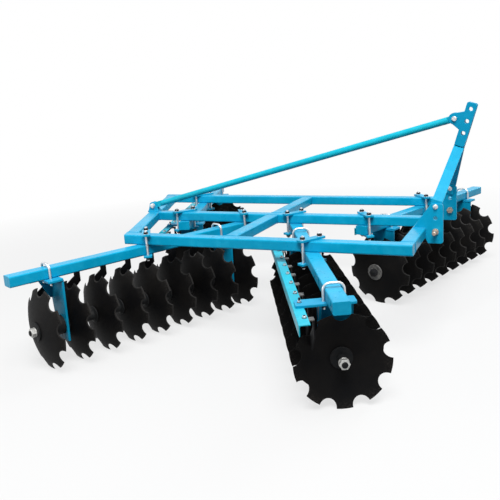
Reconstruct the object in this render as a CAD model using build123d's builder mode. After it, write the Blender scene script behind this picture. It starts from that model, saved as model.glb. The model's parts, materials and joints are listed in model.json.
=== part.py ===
"""Mounted tandem disc harrow with four gangs of notched discs, set out in an X under a tubular frame.

Millimetres. +X points forward to the tractor, +Y to the machine's left, +Z up. Z is zero on the ground.
The origin is below the middle of the whole machine, so it stands on the lowest teeth of its discs.
Each gang has its own directions: "out" runs from the centre of the machine along the gang's beam,
and "back" is level, square to the beam and towards the rear of the machine.
"""
import os
from math import cos, radians, sin, tan

from build123d import *

os.makedirs("parts", exist_ok=True)

# Where the machine stands in the part's frame
rear_corner_x = -670.6
centre_line_y = -1.3

# Rectangular tube of the frame and of the gang beams
tube_width = 80.0
tube_height = 60.0
tube_wall = 5.0
tube_corner = 8.0

# Frame
rail_pitch = 717.5
frame_length = 1777.0
rear_beam_angle = 22.3
mid_member_x = 656.0

# Discs and the axle that carries them
disc_radius = 230.0
disc_thickness = 5.0
disc_depth = 50.0
disc_flat_radius = 56.0
disc_bulge = 0.36
disc_pitch = 170.0
notch_count = 9
notch_radius = 42.0
notch_centre_radius = 233.0
axle_square = 30.0
axle_fit = 0.3
spool_radius = 30.0
spool_flange_radius = 50.0
spool_flange_thickness = 7.0
spool_cone_length = 6.0
end_washer_radius = 54.0
end_washer_thickness = 9.0
axle_nut_across = 46.0
axle_nut_length = 26.0
axle_stub_radius = 15.0
axle_stub_length = 6.0
end_sleeve_radius = 22.0
end_sleeve_length = 50.0

# Gang beams and the place of the axle below and in front of them
gang_beam_length = 1770.0
axle_drop = 276.5
axle_forward = 24.0

# Standards, each a top plate, a web, a gusset and a bearing housing
standard_from_rim = 75.0
web_thickness = 12.0
top_plate_thickness = 12.0
top_plate_width = 85.0
top_plate_corner = 10.0
top_plate_forward = 100.0
top_plate_back = 178.0
web_top_forward = 96.0
web_top_back = 78.0
web_bottom_half = 60.0
web_below_axle = 88.0
gusset_thickness = 12.0
gusset_width = 70.0
gusset_drop = 122.0
gusset_foot = 14.0
housing_radius = 54.0
housing_length = 68.0
bearing_gap = 0.3

# U bolts that hold the standards to the beams
u_bolt_radius = 7.0
u_bolt_gap = 1.0
u_bolt_rise = 30.0
u_bolt_bend = 32.0
u_bolt_tail = 26.0
u_bolt_from_web = 45.0

# Clamps that hold the gang beams under the rails
clamp_bar_width = 50.0
clamp_bar_thickness = 12.0
clamp_bar_corner = 6.0
clamp_bolt_radius = 8.0
clamp_bolt_gap = 4.0
clamp_nut_across = 27.0
clamp_nut_height = 14.0
clamp_bolt_tail = 8.0

# Scraper bars, an angle section with a scraper for each disc
angle_leg = 50.0
angle_thickness = 5.0
angle_back = 140.0
angle_past_scrapers = 83.0
angle_from_inner_end = 6.0
scraper_thickness = 6.0
scraper_width = 36.0
scraper_from_rim = 106.0
scraper_foot_length = 52.0
scraper_lean_start = 44.0
scraper_tip_high = 112.0
scraper_tip_low = 180.0
scraper_tip_gap = 5.0
scraper_tip_width = 42.0

# Hitch plates, lower link pins and mast, measured at the tractor end
hitch_span = 683.0
hitch_plate_thickness = 12.0
hitch_plate_foot = 72.0
hitch_plate_reach = 99.0
hitch_plate_top = 143.0
hitch_plate_top_width = 68.0
hitch_plate_bottom = 88.0
hitch_plate_corner = 14.0
lower_pin_radius = 11.0
lower_pin_length = 64.0
lower_pin_reach = 56.0
lower_pin_height = -18.0
spare_hole_height = 60.0
lower_nut_across = 36.0
lower_nut_length = 18.0
lower_collar_radius = 18.0
lower_collar_length = 8.0
lower_pin_chamfer = 3.0
pin_fit = 0.3
mast_foot_height = 126.0
mast_lean = 16.8
mast_bar_width = 60.0
mast_bar_thickness = 12.0
mast_foot_tail = 34.0
mast_knee = 34.0
cheek_thickness = 10.0
cheek_gap = 46.0
cheek_bottom = 326.0
cheek_top = 586.0
cheek_corner = 12.0
leg_tab = 50.0
leg_bend_clear = 4.0
top_link_radius = 12.75
top_link_places = (403.0, 475.5, 548.0)
mast_pin_radius = 10.0
mast_pin_up = 472.0
mast_pin_back = 74.0
lug_radius = 34.0
mast_pin_tail = 14.0

# Brace tube from the mast to the rear beam
brace_radius = 21.0
brace_lug_thickness = 16.0
brace_lug_radius = 24.0
brace_rear_lug_length = 76.0
brace_head_lug_length = 45.0
ear_thickness = 10.0
ear_gap = 17.0
ear_width = 80.0
ear_pin_height = 36.0
ear_top_radius = 28.0
ear_base_thickness = 8.0
ear_base_margin = 10.0
ear_bolt_radius = 10.0
ear_bolt_tail = 14.0

# Heights that follow from the sizes above
axle_height = disc_radius
beam_bottom = axle_height + axle_drop
beam_top = beam_bottom + tube_height
rail_bottom = beam_top
rail_top = rail_bottom + tube_height
plate_bottom = beam_bottom - top_plate_thickness

# Places of the frame that follow from the sizes above
half_width = tube_width / 2
rail_outer_y = rail_pitch + half_width
inner_span_y = rail_pitch - half_width
rear_slope = tan(radians(rear_beam_angle))
rear_beam_run = tube_width / cos(radians(rear_beam_angle))

# Gangs, one row each. inner_x is measured forward from the rear corner of the right rail and inner_y to
# the left of the centre line, both to the middle of the beam's inner end. heading is the way that the
# gang runs outward, in degrees from +X. side is 1 on the left and -1 on the right. hollow says which
# way the discs' hollow faces along the gang, 1 outward and -1 inward. first_rim is the distance from
# the beam's inner end to the innermost disc's rim.
# name, inner_x, inner_y, heading, side, hollow, discs, first_rim
gang_table = (
    ("front_right", 813.0, 62.0, 297.1, -1, 1, 9, 263.0),
    ("front_left", 1319.0, -52.0, 70.9, 1, 1, 9, 176.0),
    ("rear_right", 510.0, 114.0, 245.8, -1, -1, 9, 248.0),
    ("rear_left", 17.0, -74.0, 108.9, 1, -1, 10, 140.0),
)


class Gang:
    """Turns distances along, behind and above a gang's beam into places of the part's frame."""

    def __init__(self, name, inner_x, inner_y, heading, side, hollow, discs, first_rim):
        self.name = name
        self.side = side
        self.hollow = hollow
        self.rims = [first_rim + disc_pitch * i for i in range(discs)]
        self.inner = Vector(rear_corner_x + inner_x, centre_line_y + inner_y, 0)
        self.out = Vector(cos(radians(heading)), sin(radians(heading)), 0)
        self.back = Vector(-self.out.Y, self.out.X, 0) * side

    def spot(self, out, back, height):
        """A place, by its distance out from the beam's inner end, back from its middle, and height."""
        return self.inner + self.out * out + self.back * back + Vector(0, 0, height)

    def across(self, out, back, height):
        """A plane square to the gang, with local x backward and local y up."""
        return Plane(self.spot(out, back, height), x_dir=self.back, z_dir=self.out * self.side)

    def on_axle(self, out):
        """A plane square to the gang with its middle on the axle."""
        return self.across(out, -axle_forward, axle_height)

    def along(self, out, back, height):
        """An upright plane along the gang, with local x outward and local y up."""
        return Plane(self.spot(out, back, height), x_dir=self.out, z_dir=Vector(self.out.Y, -self.out.X, 0))

    def level(self, out, back, height):
        """A level plane, with local x outward."""
        return Plane(self.spot(out, back, height), x_dir=self.out, z_dir=(0, 0, 1))

    def hub_face(self, rim):
        """The hollow side of a disc's flat centre, behind its rim."""
        return rim - self.hollow * disc_depth

    def standard_places(self):
        """The webs of the two standards, in the first and the last gap between discs."""
        return [self.rims[0] + standard_from_rim, self.rims[-2] + standard_from_rim]

    def crossing(self, rail_y):
        """How far out the beam's middle passes below the middle of a rail."""
        return (centre_line_y + rail_y - self.inner.Y) / self.out.Y


gangs = [Gang(*row) for row in gang_table]


def finish(part, node):
    """Names a finished piece and writes its file."""
    part.label = node
    export_step(part, f"parts/{node}.step")


def frame_x(x, y=0.0):
    """A place on the frame in plan, from the rear corner of the right rail and the centre line."""
    return (rear_corner_x + x, centre_line_y + y)


def rear_face_x(y):
    """The rear face of the oblique rear beam, which ends the outer rails too."""
    return -rear_slope * (y + rail_outer_y)


def strip_outline(points, thickness):
    """The closed outline of a bent flat bar, from the points of its middle line."""
    mid = [Vector(*p) for p in points]
    runs = [(b - a).normalized() for a, b in zip(mid, mid[1:])]
    left = []
    right = []
    for i, p in enumerate(mid):
        before = runs[max(i - 1, 0)]
        after = runs[min(i, len(runs) - 1)]
        normal = Vector(-(before + after).Y, (before + after).X).normalized()
        reach = thickness / 2 / normal.dot(Vector(-after.Y, after.X))
        left.append(p + normal * reach)
        right.append(p - normal * reach)
    return [(p.X, p.Y) for p in left + right[::-1]]


# Frame tubes. Each has the corners of its plan, in order, and is closed by welded caps
frame_tubes = {
    "rail_right": (
        frame_x(rear_face_x(-rail_outer_y), -rail_outer_y),
        frame_x(frame_length, -rail_outer_y),
        frame_x(frame_length, -inner_span_y),
        frame_x(rear_face_x(-inner_span_y), -inner_span_y),
    ),
    "rail_centre": (
        frame_x(rear_face_x(-half_width) + rear_beam_run, -half_width),
        frame_x(frame_length - tube_width, -half_width),
        frame_x(frame_length - tube_width, half_width),
        frame_x(rear_face_x(half_width) + rear_beam_run, half_width),
    ),
    "rail_left": (
        frame_x(rear_face_x(inner_span_y), inner_span_y),
        frame_x(frame_length, inner_span_y),
        frame_x(frame_length, rail_outer_y),
        frame_x(rear_face_x(rail_outer_y), rail_outer_y),
    ),
    "beam_rear": (
        frame_x(rear_face_x(-inner_span_y), -inner_span_y),
        frame_x(rear_face_x(-inner_span_y) + rear_beam_run, -inner_span_y),
        frame_x(rear_face_x(inner_span_y) + rear_beam_run, inner_span_y),
        frame_x(rear_face_x(inner_span_y), inner_span_y),
    ),
    "beam_front": (
        frame_x(frame_length - tube_width, -inner_span_y),
        frame_x(frame_length, -inner_span_y),
        frame_x(frame_length, inner_span_y),
        frame_x(frame_length - tube_width, inner_span_y),
    ),
    "member_mid_right": (
        frame_x(mid_member_x, -inner_span_y),
        frame_x(mid_member_x + tube_width, -inner_span_y),
        frame_x(mid_member_x + tube_width, -half_width),
        frame_x(mid_member_x, -half_width),
    ),
    "member_mid_left": (
        frame_x(mid_member_x, half_width),
        frame_x(mid_member_x + tube_width, half_width),
        frame_x(mid_member_x + tube_width, inner_span_y),
        frame_x(mid_member_x, inner_span_y),
    ),
}
for node, corners in frame_tubes.items():
    with BuildPart() as frame_tube:
        with BuildSketch(Plane.XY.offset(rail_bottom)) as plan:
            with BuildLine():
                Polyline(*corners, close=True)
            make_face()
        extrude(amount=tube_height)
        long_edges = frame_tube.edges().filter_by(lambda e: abs(e.tangent_at(0.5).Z) < 0.5)
        fillet(long_edges.sort_by(Edge.length)[-4:], radius=tube_corner)
        with BuildSketch(Plane.XY.offset(rail_bottom + tube_wall)):
            with BuildLine():
                Polyline(*corners, close=True)
            make_face()
            offset(amount=-tube_wall, mode=Mode.REPLACE)
        extrude(amount=tube_height - 2 * tube_wall, mode=Mode.SUBTRACT)
    finish(frame_tube.part, node)

# Gang beams, the same tube closed at both ends
for gang in gangs:
    with BuildPart() as gang_beam:
        with BuildSketch(gang.across(0, 0, beam_bottom + tube_height / 2)):
            RectangleRounded(tube_width, tube_height, tube_corner)
        extrude(amount=gang.side * gang_beam_length)
        with BuildSketch(gang.across(tube_wall, 0, beam_bottom + tube_height / 2)):
            Rectangle(tube_width - 2 * tube_wall, tube_height - 2 * tube_wall)
        extrude(amount=gang.side * (gang_beam_length - 2 * tube_wall), mode=Mode.SUBTRACT)
    finish(gang_beam.part, f"gang_beam_{gang.name}")

# Standards
u_bolt_half = half_width + u_bolt_gap + u_bolt_radius
for gang in gangs:
    with BuildPart() as standards:
        for web in gang.standard_places():
            plate_middle = web - web_thickness / 2 + top_plate_width / 2
            plate_length = top_plate_forward + top_plate_back
            plate_back = (top_plate_back - top_plate_forward) / 2
            with BuildSketch(gang.level(plate_middle, plate_back, plate_bottom)):
                RectangleRounded(top_plate_width, plate_length, top_plate_corner)
            extrude(amount=top_plate_thickness)
            with BuildSketch(gang.level(web + u_bolt_from_web, 0, plate_bottom)):
                with Locations((0, u_bolt_half), (0, -u_bolt_half)):
                    Circle(u_bolt_radius + pin_fit)
            extrude(amount=top_plate_thickness, mode=Mode.SUBTRACT)
            with BuildSketch(gang.across(web, 0, 0)):
                with BuildLine():
                    Polyline(
                        (-web_top_forward, plate_bottom),
                        (web_top_back, plate_bottom),
                        (web_bottom_half - axle_forward, axle_height - web_below_axle),
                        (-web_bottom_half - axle_forward, axle_height - web_below_axle),
                        close=True,
                    )
                make_face()
            extrude(amount=web_thickness / 2, both=True)
            with BuildSketch(gang.along(web, web_top_back - gusset_thickness, plate_bottom)):
                with BuildLine():
                    Polyline(
                        (0, 0),
                        (gusset_width, 0),
                        (gusset_width, -gusset_foot),
                        (gusset_foot, -gusset_drop),
                        (0, -gusset_drop),
                        close=True,
                    )
                make_face()
            extrude(amount=gusset_thickness / 2, both=True)
            housing_middle = web - gang.hollow * (housing_length - web_thickness) / 2
            with BuildSketch(gang.on_axle(housing_middle)):
                Circle(housing_radius)
            extrude(amount=housing_length / 2, both=True)
            with BuildSketch(gang.on_axle(housing_middle)):
                Circle(spool_radius + bearing_gap)
            extrude(amount=housing_length, both=True, mode=Mode.SUBTRACT)
    finish(standards.part, f"standards_{gang.name}")

# U bolts over the gang beams and the bolts of the rail clamps
clamp_bolt_out = half_width + clamp_bolt_gap + clamp_bolt_radius


def clamp_corners(gang, rail_y):
    """The two clamp bolts of a crossing, in the corners where rail and beam make a blunt angle."""
    middle = gang.spot(gang.crossing(rail_y), 0, 0)
    reach_x = clamp_bolt_out * (1 - abs(gang.out.X)) / abs(gang.out.Y)
    turn = 1 if gang.out.X * gang.out.Y > 0 else -1
    return [middle + Vector(-turn * k * reach_x, k * clamp_bolt_out, 0) for k in (1, -1)]


def clamped_rails(gang):
    """The rails that a gang's beam hangs from, by their places across the machine."""
    return (0.0, gang.side * rail_pitch)


upper_bar_top = rail_top + clamp_bar_thickness
lower_bar_bottom = beam_bottom - clamp_bar_thickness
for gang in gangs:
    with BuildPart() as fasteners:
        for web in gang.standard_places():
            bend_top = beam_top + u_bolt_rise - u_bolt_radius
            leg_bottom = plate_bottom - u_bolt_tail
            with BuildLine(gang.across(web + u_bolt_from_web, 0, 0)) as bow:
                FilletPolyline(
                    (-u_bolt_half, leg_bottom),
                    (-u_bolt_half, bend_top),
                    (u_bolt_half, bend_top),
                    (u_bolt_half, leg_bottom),
                    radius=u_bolt_bend,
                )
            with BuildSketch(gang.level(web + u_bolt_from_web, -u_bolt_half, leg_bottom)):
                Circle(u_bolt_radius)
            sweep(path=bow.wires()[0])
        for rail_y in clamped_rails(gang):
            for corner in clamp_corners(gang, rail_y):
                bolt_bottom = lower_bar_bottom - clamp_nut_height - clamp_bolt_tail
                bolt_top = upper_bar_top + clamp_nut_height + clamp_bolt_tail
                with BuildSketch(Plane(corner + Vector(0, 0, bolt_bottom))):
                    Circle(clamp_bolt_radius)
                extrude(amount=bolt_top - bolt_bottom)
                for nut_height in (upper_bar_top, lower_bar_bottom - clamp_nut_height):
                    with BuildSketch(Plane(corner + Vector(0, 0, nut_height))):
                        RegularPolygon(clamp_nut_across / 2, 6, major_radius=False)
                    extrude(amount=clamp_nut_height)
    finish(fasteners.part, f"fasteners_{gang.name}")

# Flat bars of the rail clamps, above the rail and below the beam
for gang in gangs:
    with BuildPart() as clamps:
        for rail_y in clamped_rails(gang):
            first, second = clamp_corners(gang, rail_y)
            middle = (first + second) * 0.5
            span = (first - second).length
            for bar_bottom in (rail_top, lower_bar_bottom):
                bar_plane = Plane(middle + Vector(0, 0, bar_bottom), x_dir=first - second, z_dir=(0, 0, 1))
                with BuildSketch(bar_plane):
                    RectangleRounded(span + clamp_bar_width, clamp_bar_width, clamp_bar_corner)
                    with Locations((span / 2, 0), (-span / 2, 0)):
                        Circle(clamp_bolt_radius + pin_fit, mode=Mode.SUBTRACT)
                extrude(amount=clamp_bar_thickness)
    finish(clamps.part, f"clamp_bars_{gang.name}")

# Scraper bars
angle_top = plate_bottom
for gang in gangs:
    with BuildPart() as scraper_bar:
        feet = [rim + gang.hollow * scraper_from_rim for rim in gang.rims]
        bar_start = max(feet[0] - angle_past_scrapers, angle_from_inner_end)
        bar_end = feet[-1] + angle_past_scrapers
        with BuildSketch(gang.across((bar_start + bar_end) / 2, angle_back, angle_top)):
            with BuildLine():
                Polyline(
                    (0, 0),
                    (angle_leg, 0),
                    (angle_leg, -angle_leg),
                    (angle_leg - angle_thickness, -angle_leg),
                    (angle_leg - angle_thickness, -angle_thickness),
                    (0, -angle_thickness),
                    close=True,
                )
            make_face()
        extrude(amount=(bar_end - bar_start) / 2, both=True)
        blade_back = angle_back - scraper_foot_length / 2
        blade_top = angle_top - angle_thickness
        for rim, foot in zip(gang.rims, feet):
            with BuildSketch(gang.level(foot, angle_back, blade_top - scraper_thickness)):
                Rectangle(scraper_width, scraper_foot_length)
            extrude(amount=scraper_thickness)
            tip = []
            for drop in (scraper_tip_high, scraper_tip_low):
                behind = blade_back + axle_forward
                above = blade_top - drop - axle_height
                hollow_here = (disc_radius**2 - behind**2 - above**2) / disc_radius**2 * disc_depth
                tip.append((scraper_tip_gap - hollow_here, -drop))
            inner_edge = scraper_from_rim - scraper_width / 2
            outer_edge = scraper_from_rim + scraper_width / 2
            with BuildSketch(gang.along(rim, blade_back + scraper_thickness / 2, blade_top)):
                with BuildLine():
                    outline = (
                        (outer_edge, 0),
                        (inner_edge, 0),
                        (inner_edge, -scraper_lean_start),
                        tip[0],
                        tip[1],
                        (tip[1][0] + scraper_tip_width, -scraper_tip_low),
                        (outer_edge, -scraper_lean_start - scraper_width),
                    )
                    Polyline(*[(gang.hollow * a, b) for a, b in outline], close=True)
                make_face()
            extrude(amount=scraper_thickness / 2, both=True)
    finish(scraper_bar.part, f"scraper_bar_{gang.name}")

# Discs, each a notched dish with a flat centre and a square hole
for gang in gangs:
    with BuildPart() as discs:
        for rim in gang.rims:
            face = gang.hub_face(rim)
            toward_back = -gang.hollow
            with BuildSketch(gang.along(face, -axle_forward, axle_height)):
                with BuildLine():
                    rim_out = gang.hollow * disc_depth
                    bulge_r = (disc_radius + disc_flat_radius) / 2
                    bulge = gang.hollow * disc_depth * disc_bulge
                    thick = toward_back * disc_thickness
                    Line((0, 0), (0, disc_flat_radius))
                    ThreePointArc((0, disc_flat_radius), (bulge, bulge_r), (rim_out, disc_radius))
                    Line((rim_out, disc_radius), (rim_out + thick, disc_radius))
                    ThreePointArc(
                        (rim_out + thick, disc_radius),
                        (bulge + thick, bulge_r),
                        (thick, disc_flat_radius),
                    )
                    Line((thick, disc_flat_radius), (thick, 0))
                    Line((thick, 0), (0, 0))
                make_face()
            revolve(axis=Axis(gang.spot(face, -axle_forward, axle_height), gang.out))
            with BuildSketch(gang.on_axle(rim)):
                with PolarLocations(notch_centre_radius, notch_count, start_angle=-90 + 180 / notch_count):
                    Circle(notch_radius)
                Rectangle(axle_square + 2 * axle_fit, axle_square + 2 * axle_fit)
            extrude(amount=disc_depth + 2 * disc_thickness, both=True, mode=Mode.SUBTRACT)
    finish(discs.part, f"discs_{gang.name}")

# Axles, each a square bar with the spools that hold the discs apart, end washers and nuts. On a hollow
# side a sleeve brings the nut out of the dish
for gang in gangs:
    toward_back = -gang.hollow
    faces = [gang.hub_face(rim) for rim in gang.rims]
    lows = [min(face, face + toward_back * disc_thickness) for face in faces]
    highs = [max(face, face + toward_back * disc_thickness) for face in faces]
    with BuildPart() as axle:
        inner_end = lows[0] - end_washer_thickness
        outer_end = highs[-1] + end_washer_thickness
        with BuildSketch(gang.on_axle((inner_end + outer_end) / 2)):
            Rectangle(axle_square, axle_square)
        extrude(amount=(outer_end - inner_end) / 2, both=True)
        for start, end in zip(highs, lows[1:]):
            with BuildSketch(gang.along(0, -axle_forward, axle_height)):
                with BuildLine():
                    Polyline(
                        (start, 0),
                        (start, spool_flange_radius),
                        (start + spool_flange_thickness, spool_flange_radius),
                        (start + spool_flange_thickness + spool_cone_length, spool_radius),
                        (end - spool_flange_thickness - spool_cone_length, spool_radius),
                        (end - spool_flange_thickness, spool_flange_radius),
                        (end, spool_flange_radius),
                        (end, 0),
                        close=True,
                    )
                make_face()
            revolve(axis=Axis(gang.spot(0, -axle_forward, axle_height), gang.out))
        for washer, way in ((lows[0], -1), (highs[-1], 1)):
            nut_start = washer + way * end_washer_thickness
            if way == gang.hollow:
                with BuildSketch(gang.on_axle(nut_start + way * end_sleeve_length / 2)):
                    Circle(end_sleeve_radius)
                extrude(amount=end_sleeve_length / 2, both=True)
                nut_start += way * end_sleeve_length
            stub_start = nut_start + way * axle_nut_length
            with BuildSketch(gang.on_axle(washer + way * end_washer_thickness / 2)):
                Circle(end_washer_radius)
            extrude(amount=end_washer_thickness / 2, both=True)
            with BuildSketch(gang.on_axle(nut_start + way * axle_nut_length / 2)):
                RegularPolygon(axle_nut_across / 2, 6, major_radius=False)
            extrude(amount=axle_nut_length / 2, both=True)
            with BuildSketch(gang.on_axle(stub_start + way * axle_stub_length / 2)):
                Circle(axle_stub_radius)
            extrude(amount=axle_stub_length / 2, both=True)
    finish(axle.part, f"axle_{gang.name}")

# Hitch plates on the front beam, with the lower link pins
pin_x = frame_length + lower_pin_reach
for side, node_side in ((-1, "right"), (1, "left")):
    plate_middle_y = centre_line_y + side * (hitch_span - hitch_plate_thickness) / 2
    side_plane = Plane((rear_corner_x, plate_middle_y, rail_top), x_dir=(1, 0, 0), z_dir=(0, -1, 0))
    with BuildPart() as hitch_plate:
        with BuildSketch(side_plane) as profile:
            with BuildLine():
                Polyline(
                    (frame_length - hitch_plate_foot, 0),
                    (frame_length + hitch_plate_reach - hitch_plate_top_width, hitch_plate_top),
                    (frame_length + hitch_plate_reach, hitch_plate_top),
                    (frame_length + hitch_plate_reach, -hitch_plate_bottom),
                    (frame_length + hitch_plate_corner, -hitch_plate_bottom),
                    (frame_length, -hitch_plate_bottom + 2 * hitch_plate_corner),
                    (frame_length, 0),
                    close=True,
                )
            make_face()
            free_x = frame_length + 2 * hitch_plate_corner
            outer_corners = profile.vertices().filter_by(lambda v: v.X > free_x)
            fillet(outer_corners, radius=hitch_plate_corner)
            with Locations((pin_x, lower_pin_height), (pin_x, spare_hole_height)):
                Circle(lower_pin_radius + pin_fit, mode=Mode.SUBTRACT)
        extrude(amount=hitch_plate_thickness / 2, both=True)
    finish(hitch_plate.part, f"hitch_plate_{node_side}")

    outer_face_y = side * hitch_span / 2
    inner_face_y = outer_face_y - side * hitch_plate_thickness
    pin_height = rail_top + lower_pin_height
    with BuildPart() as lower_pin:
        nut_face_y = inner_face_y - side * lower_nut_length
        pin_start = (rear_corner_x + pin_x, centre_line_y + nut_face_y, pin_height)
        with BuildSketch(Plane(pin_start, x_dir=(1, 0, 0), z_dir=(0, side, 0))):
            RegularPolygon(lower_nut_across / 2, 6, major_radius=False)
        extrude(amount=lower_nut_length)
        with BuildSketch(Plane(pin_start, x_dir=(1, 0, 0), z_dir=(0, side, 0))):
            Circle(lower_pin_radius)
        extrude(amount=lower_nut_length + hitch_plate_thickness + lower_pin_length)
        chamfer(lower_pin.faces().sort_by(Axis.Y)[0 if side < 0 else -1].edges(), length=lower_pin_chamfer)
        collar_start = (rear_corner_x + pin_x, centre_line_y + outer_face_y, pin_height)
        with BuildSketch(Plane(collar_start, x_dir=(1, 0, 0), z_dir=(0, side, 0))):
            Circle(lower_collar_radius)
        extrude(amount=lower_collar_length)
    finish(lower_pin.part, f"lower_pin_{node_side}")

# Mast, set out on a plane that leans forward from the upper holes of the hitch plates
lean = radians(mast_lean)
mast_foot = Vector(rear_corner_x + pin_x, centre_line_y, rail_top + mast_foot_height)
mast_up = Vector(sin(lean), 0, cos(lean))
mast_fore = Vector(cos(lean), 0, -sin(lean))
mast_face = Plane(mast_foot, x_dir=(0, 1, 0), z_dir=mast_fore)
tab_y = cheek_gap / 2 - mast_bar_thickness / 2
foot_y = hitch_span / 2 - hitch_plate_thickness - mast_bar_thickness / 2
for side, node_side in ((-1, "right"), (1, "left")):
    with BuildPart() as mast_leg:
        with BuildSketch(mast_face):
            with BuildLine():
                middle_line = (
                    (side * foot_y, -mast_foot_tail),
                    (side * foot_y, mast_knee),
                    (side * tab_y, cheek_bottom - leg_bend_clear),
                    (side * tab_y, cheek_bottom + leg_tab),
                )
                Polyline(*strip_outline(middle_line, mast_bar_thickness), close=True)
            make_face()
        extrude(amount=mast_bar_width / 2, both=True)
    finish(mast_leg.part, f"mast_leg_{node_side}")

cheek_y = cheek_gap / 2 + cheek_thickness / 2
for side, node_side in ((-1, "right"), (1, "left")):
    cheek_origin = mast_foot + Vector(0, side * cheek_y, 0)
    with BuildPart() as cheek:
        with BuildSketch(Plane(cheek_origin, x_dir=mast_fore, z_dir=(0, -1, 0))) as cheek_profile:
            with Locations((0, (cheek_bottom + cheek_top) / 2)):
                RectangleRounded(mast_bar_width, cheek_top - cheek_bottom, cheek_corner)
            with BuildLine():
                Polyline(
                    (0, mast_pin_up + 2 * lug_radius),
                    (-mast_pin_back, mast_pin_up + lug_radius),
                    (-mast_pin_back, mast_pin_up - lug_radius),
                    (0, mast_pin_up - 2 * lug_radius),
                    close=True,
                )
            make_face()
            with Locations((-mast_pin_back, mast_pin_up)):
                Circle(lug_radius)
            with Locations(*[(0, place) for place in top_link_places]):
                Circle(top_link_radius, mode=Mode.SUBTRACT)
            with Locations((-mast_pin_back, mast_pin_up)):
                Circle(mast_pin_radius + pin_fit, mode=Mode.SUBTRACT)
        extrude(amount=cheek_thickness / 2, both=True)
    finish(cheek.part, f"mast_cheek_{node_side}")

mast_pin_place = mast_foot + mast_up * mast_pin_up - mast_fore * mast_pin_back
mast_pin_half = cheek_gap / 2 + cheek_thickness + mast_pin_tail
with BuildPart() as mast_pin:
    with BuildSketch(Plane(mast_pin_place, x_dir=(1, 0, 0), z_dir=(0, -1, 0))):
        Circle(mast_pin_radius)
    extrude(amount=mast_pin_half, both=True)
finish(mast_pin.part, "mast_pin")

# Bracket on the rear beam for the brace
rear_middle_x = rear_face_x(0) + rear_beam_run / 2
ear_pin_z = rail_top + ear_base_thickness + ear_pin_height
ear_pin_place = Vector(rear_corner_x + rear_middle_x, centre_line_y, ear_pin_z)
ear_foot = ear_pin_place - Vector(0, 0, ear_pin_height)
ear_y = ear_gap / 2 + ear_thickness / 2
ear_front = (ear_top_radius, ear_pin_height)
ear_back = (-ear_top_radius, ear_pin_height)
with BuildPart() as brace_bracket:
    with BuildSketch(Plane(ear_foot - Vector(0, 0, ear_base_thickness))):
        Rectangle(ear_width, ear_gap + 2 * ear_thickness + 2 * ear_base_margin)
    extrude(amount=ear_base_thickness)
    for side in (-1, 1):
        ear_plane = Plane(ear_foot + Vector(0, side * ear_y, 0), x_dir=(1, 0, 0), z_dir=(0, -1, 0))
        with BuildSketch(ear_plane):
            with BuildLine():
                Line((-ear_width / 2, 0), (ear_width / 2, 0))
                Line((ear_width / 2, 0), ear_front)
                RadiusArc(ear_front, ear_back, -ear_top_radius)
                Line(ear_back, (-ear_width / 2, 0))
            make_face()
            with Locations((0, ear_pin_height)):
                Circle(ear_bolt_radius + pin_fit, mode=Mode.SUBTRACT)
        extrude(amount=ear_thickness / 2, both=True)
finish(brace_bracket.part, "brace_bracket")

ear_bolt_half = ear_gap / 2 + ear_thickness + ear_bolt_tail
with BuildPart() as brace_bolt:
    with BuildSketch(Plane(ear_pin_place, x_dir=(1, 0, 0), z_dir=(0, -1, 0))):
        Circle(ear_bolt_radius)
    extrude(amount=ear_bolt_half, both=True)
finish(brace_bolt.part, "brace_bolt")

# Brace tube with a flat lug at each end
brace_run = mast_pin_place - ear_pin_place
brace_way = brace_run.normalized()
brace_length = brace_run.length
brace_lugs = ((0.0, 1, brace_rear_lug_length), (brace_length, -1, brace_head_lug_length))
with BuildPart() as brace:
    tube_start = ear_pin_place + brace_way * brace_rear_lug_length
    with BuildSketch(Plane(tube_start, x_dir=(0, 1, 0), z_dir=brace_way)):
        Circle(brace_radius)
    extrude(amount=brace_length - brace_rear_lug_length - brace_head_lug_length)
    lug_plane = Plane(ear_pin_place, x_dir=brace_way, z_dir=(0, -1, 0))
    for pin_at, way, lug_length in brace_lugs:
        with BuildSketch(lug_plane):
            with Locations((pin_at + way * (lug_length + brace_radius) / 2, 0)):
                Rectangle(lug_length + brace_radius, 2 * brace_radius)
            with Locations((pin_at, 0)):
                Circle(brace_lug_radius)
                Circle(mast_pin_radius + pin_fit, mode=Mode.SUBTRACT)
        extrude(amount=brace_lug_thickness / 2, both=True)
finish(brace.part, "top_brace")
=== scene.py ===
"""Looks of a mounted tandem disc harrow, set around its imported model.

Metres. +X points forward to the tractor, +Y to the machine's left, +Z up. Each gang has its own
directions: "out" runs along its axle away from the middle of the machine, and "back" is level, square
to it and to the rear.
"""

import json
import random
from math import acos, atan2, cos, pi, radians, sin, sqrt, tan

import bmesh
import bpy
from mathutils import Matrix, Vector


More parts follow.
